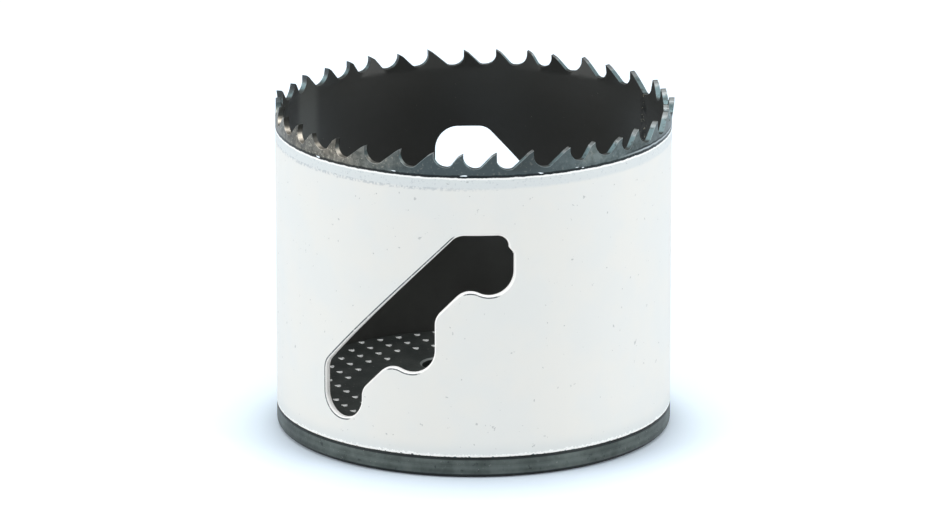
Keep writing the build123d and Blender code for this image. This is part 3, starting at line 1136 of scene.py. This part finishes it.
def capMaterial():
    g = Graph(bpy.data.materials.new("capSteel"))
    m = named(capFinish)
    spot, x, y, z = g.place()
    radius = g.length(x, y)
    cloud, fine, grain = (g.noise(spot, *values) for values in (m.cloud, m.fine, m.grain))
    # turning lines round the band and the face follow radius and height
    profile = g.node("ShaderNodeCombineXYZ", {"X": radius, "Y": z, "Z": 0.0}).outputs[0]
    turned = g.noise(profile, *m.turned)
    onBand = g.fade(radius, m.band)
    floorTone = g.mix(g.step(cloud, m.floorCloud), m.floorDark, m.floorLight)
    worked = g.step(g.raised(cloud, turned, m.bandTurned), m.bandCloud)
    tone = g.mix(onBand, floorTone, g.mix(worked, m.bandDark, m.bandLight))
    tone = g.layer(tone, fine, *m.bright, g.blend(onBand, *m.brightShares))
    tone = g.layer(tone, grain, *m.dark)
    tone, pits = capMarks(g, tone, x, y, z, radius, onBand)
    metal = g.blend(pits, g.blend(onBand, *m.metallic), 0.0)
    rough = g.raised(m.roughness, grain, m.roughGrain)
    height = g.math("ADD", g.times(fine, m.bumpFine), g.times(turned, m.bumpTurned))
    return g.finish(tone, metal, rough, height, m.bumpStrength, m.bump * mm)


shell = buildCup()
shell.data.materials.append(cupMaterial())
capPiece = buildCap()
capPiece.data.materials.clear()
capPiece.data.materials.append(capMaterial())
print("materials done")

# lengths in metres, but for those that say millimetres
studio = {
    "floorSize": 6.0,
    "floorDrop": 0.02,  # millimetres
    "floorColour": colour(222, 235, 247),
    "floorThrows": colour(220, 220, 218),
    "floorShown": (0.82, 0.93, 1.0, 1.0),
    "floorRoughness": 0.9,
    "floorLight": 0.4,
    # the floor's own light near the object and far off; the fade between them is a painted shadow
    "floorNear": 0.0,
    "nearAhead": 8,  # millimetres from the axis, towards the camera
    "nearFade": (25, 46),  # millimetres
    "worldLight": 0.37,
    "distance": 1.3694,
    "elevation": 16.52,
    "lookAt": (0.0, 0.0, 0.02616),
    "lens": 322.7,
    "sensor": 36,
    "clip": 50,
    "shiftX": 0.0015,
}

# place, size and power
lamps = {
    "softLeft": ((-1.38, -0.6, 0.7), (0.9, 1.2), 14.3),
    "softRight": ((1.38, -0.6, 0.7), (0.9, 1.2), 14.3),
    "softTop": ((0.0, 0.0, 1.5), (1.2, 1.2), 10.0),
}


def floorMaterial():
    # diffuse for the shadow, plus its own light to the camera and to reflections, which fades out round the
    # object as a painted shadow
    g = Graph(bpy.data.materials.new("floorWhite"))
    v = named(studio)
    seen = g.node("ShaderNodeLightPath").outputs
    shown = g.math("MAXIMUM", seen["Is Camera Ray"], seen["Is Glossy Ray"])
    shown = g.math("MAXIMUM", shown, seen["Is Transmission Ray"])
    # seen directly the floor is cool, but it throws plain white light on the object
    g.set(g.shader.inputs["Base Color"], g.mix(shown, v.floorThrows, v.floorColour))
    g.set(g.shader.inputs["Roughness"], v.floorRoughness)
    g.set(g.shader.inputs["Emission Color"], v.floorShown)
    x, y = g.place()[1:3]
    # its own light fades out near the object: painted shadow
    away = g.length(x, g.math("ADD", y, v.nearAhead * mm))
    light = g.blend(g.fade(away, v.nearFade), v.floorNear, v.floorLight)
    g.set(g.shader.inputs["Emission Strength"], g.times(shown, light))
    return g.material


def buildFloor():
    corners = np.array([(-1, -1), (1, -1), (1, 1), (-1, 1)]) * studio["floorSize"] / mm
    points = np.c_[corners, np.full(4, -studio["floorDrop"])]
    floor = addMesh("floor", points, [np.array([[0, 1, 2, 3]])])
    floor.data.materials.append(floorMaterial())


def buildWorld():
    # white to the camera, dimmer to everything else
    world = bpy.data.worlds.new("studioWorld")
    bpy.context.scene.world = world
    g = Graph(world, "Background")
    seen = g.node("ShaderNodeLightPath").outputs["Is Camera Ray"]
    g.set(g.shader.inputs["Strength"], g.blend(seen, studio["worldLight"], 1.0))
    g.set(g.shader.inputs["Color"], (1, 1, 1, 1))


def addLamp(name, place, size, power):
    data = bpy.data.lights.new(name, "AREA")
    data.shape = "RECTANGLE"
    data.size, data.size_y = size
    data.energy = power
    made = bpy.data.objects.new(name, data)
    made.location = place
    aim = np.array(studio["lookAt"]) - np.array(place)
    made.rotation_euler = Vector(aim).to_track_quat("-Z", "Y").to_euler()
    bpy.context.scene.collection.objects.link(made)


def addCamera():
    v = named(studio)
    camera = bpy.data.objects.new("camera", bpy.data.cameras.new("camera"))
    up = math.radians(v.elevation)
    camera.location = (0.0, -v.distance * math.cos(up), v.lookAt[2] + v.distance * math.sin(up))
    camera.rotation_euler = (math.radians(90 - v.elevation), 0, 0)
    camera.data.lens = v.lens
    camera.data.sensor_width = v.sensor
    camera.data.shift_x = v.shiftX
    camera.data.clip_end = v.clip
    bpy.context.scene.collection.objects.link(camera)
    bpy.context.scene.camera = camera


buildFloor()
buildWorld()
for lampName, lampValues in lamps.items():
    addLamp(lampName, *lampValues)
addCamera()
bpy.context.scene.view_settings.view_transform = "Standard"
print("studio done")
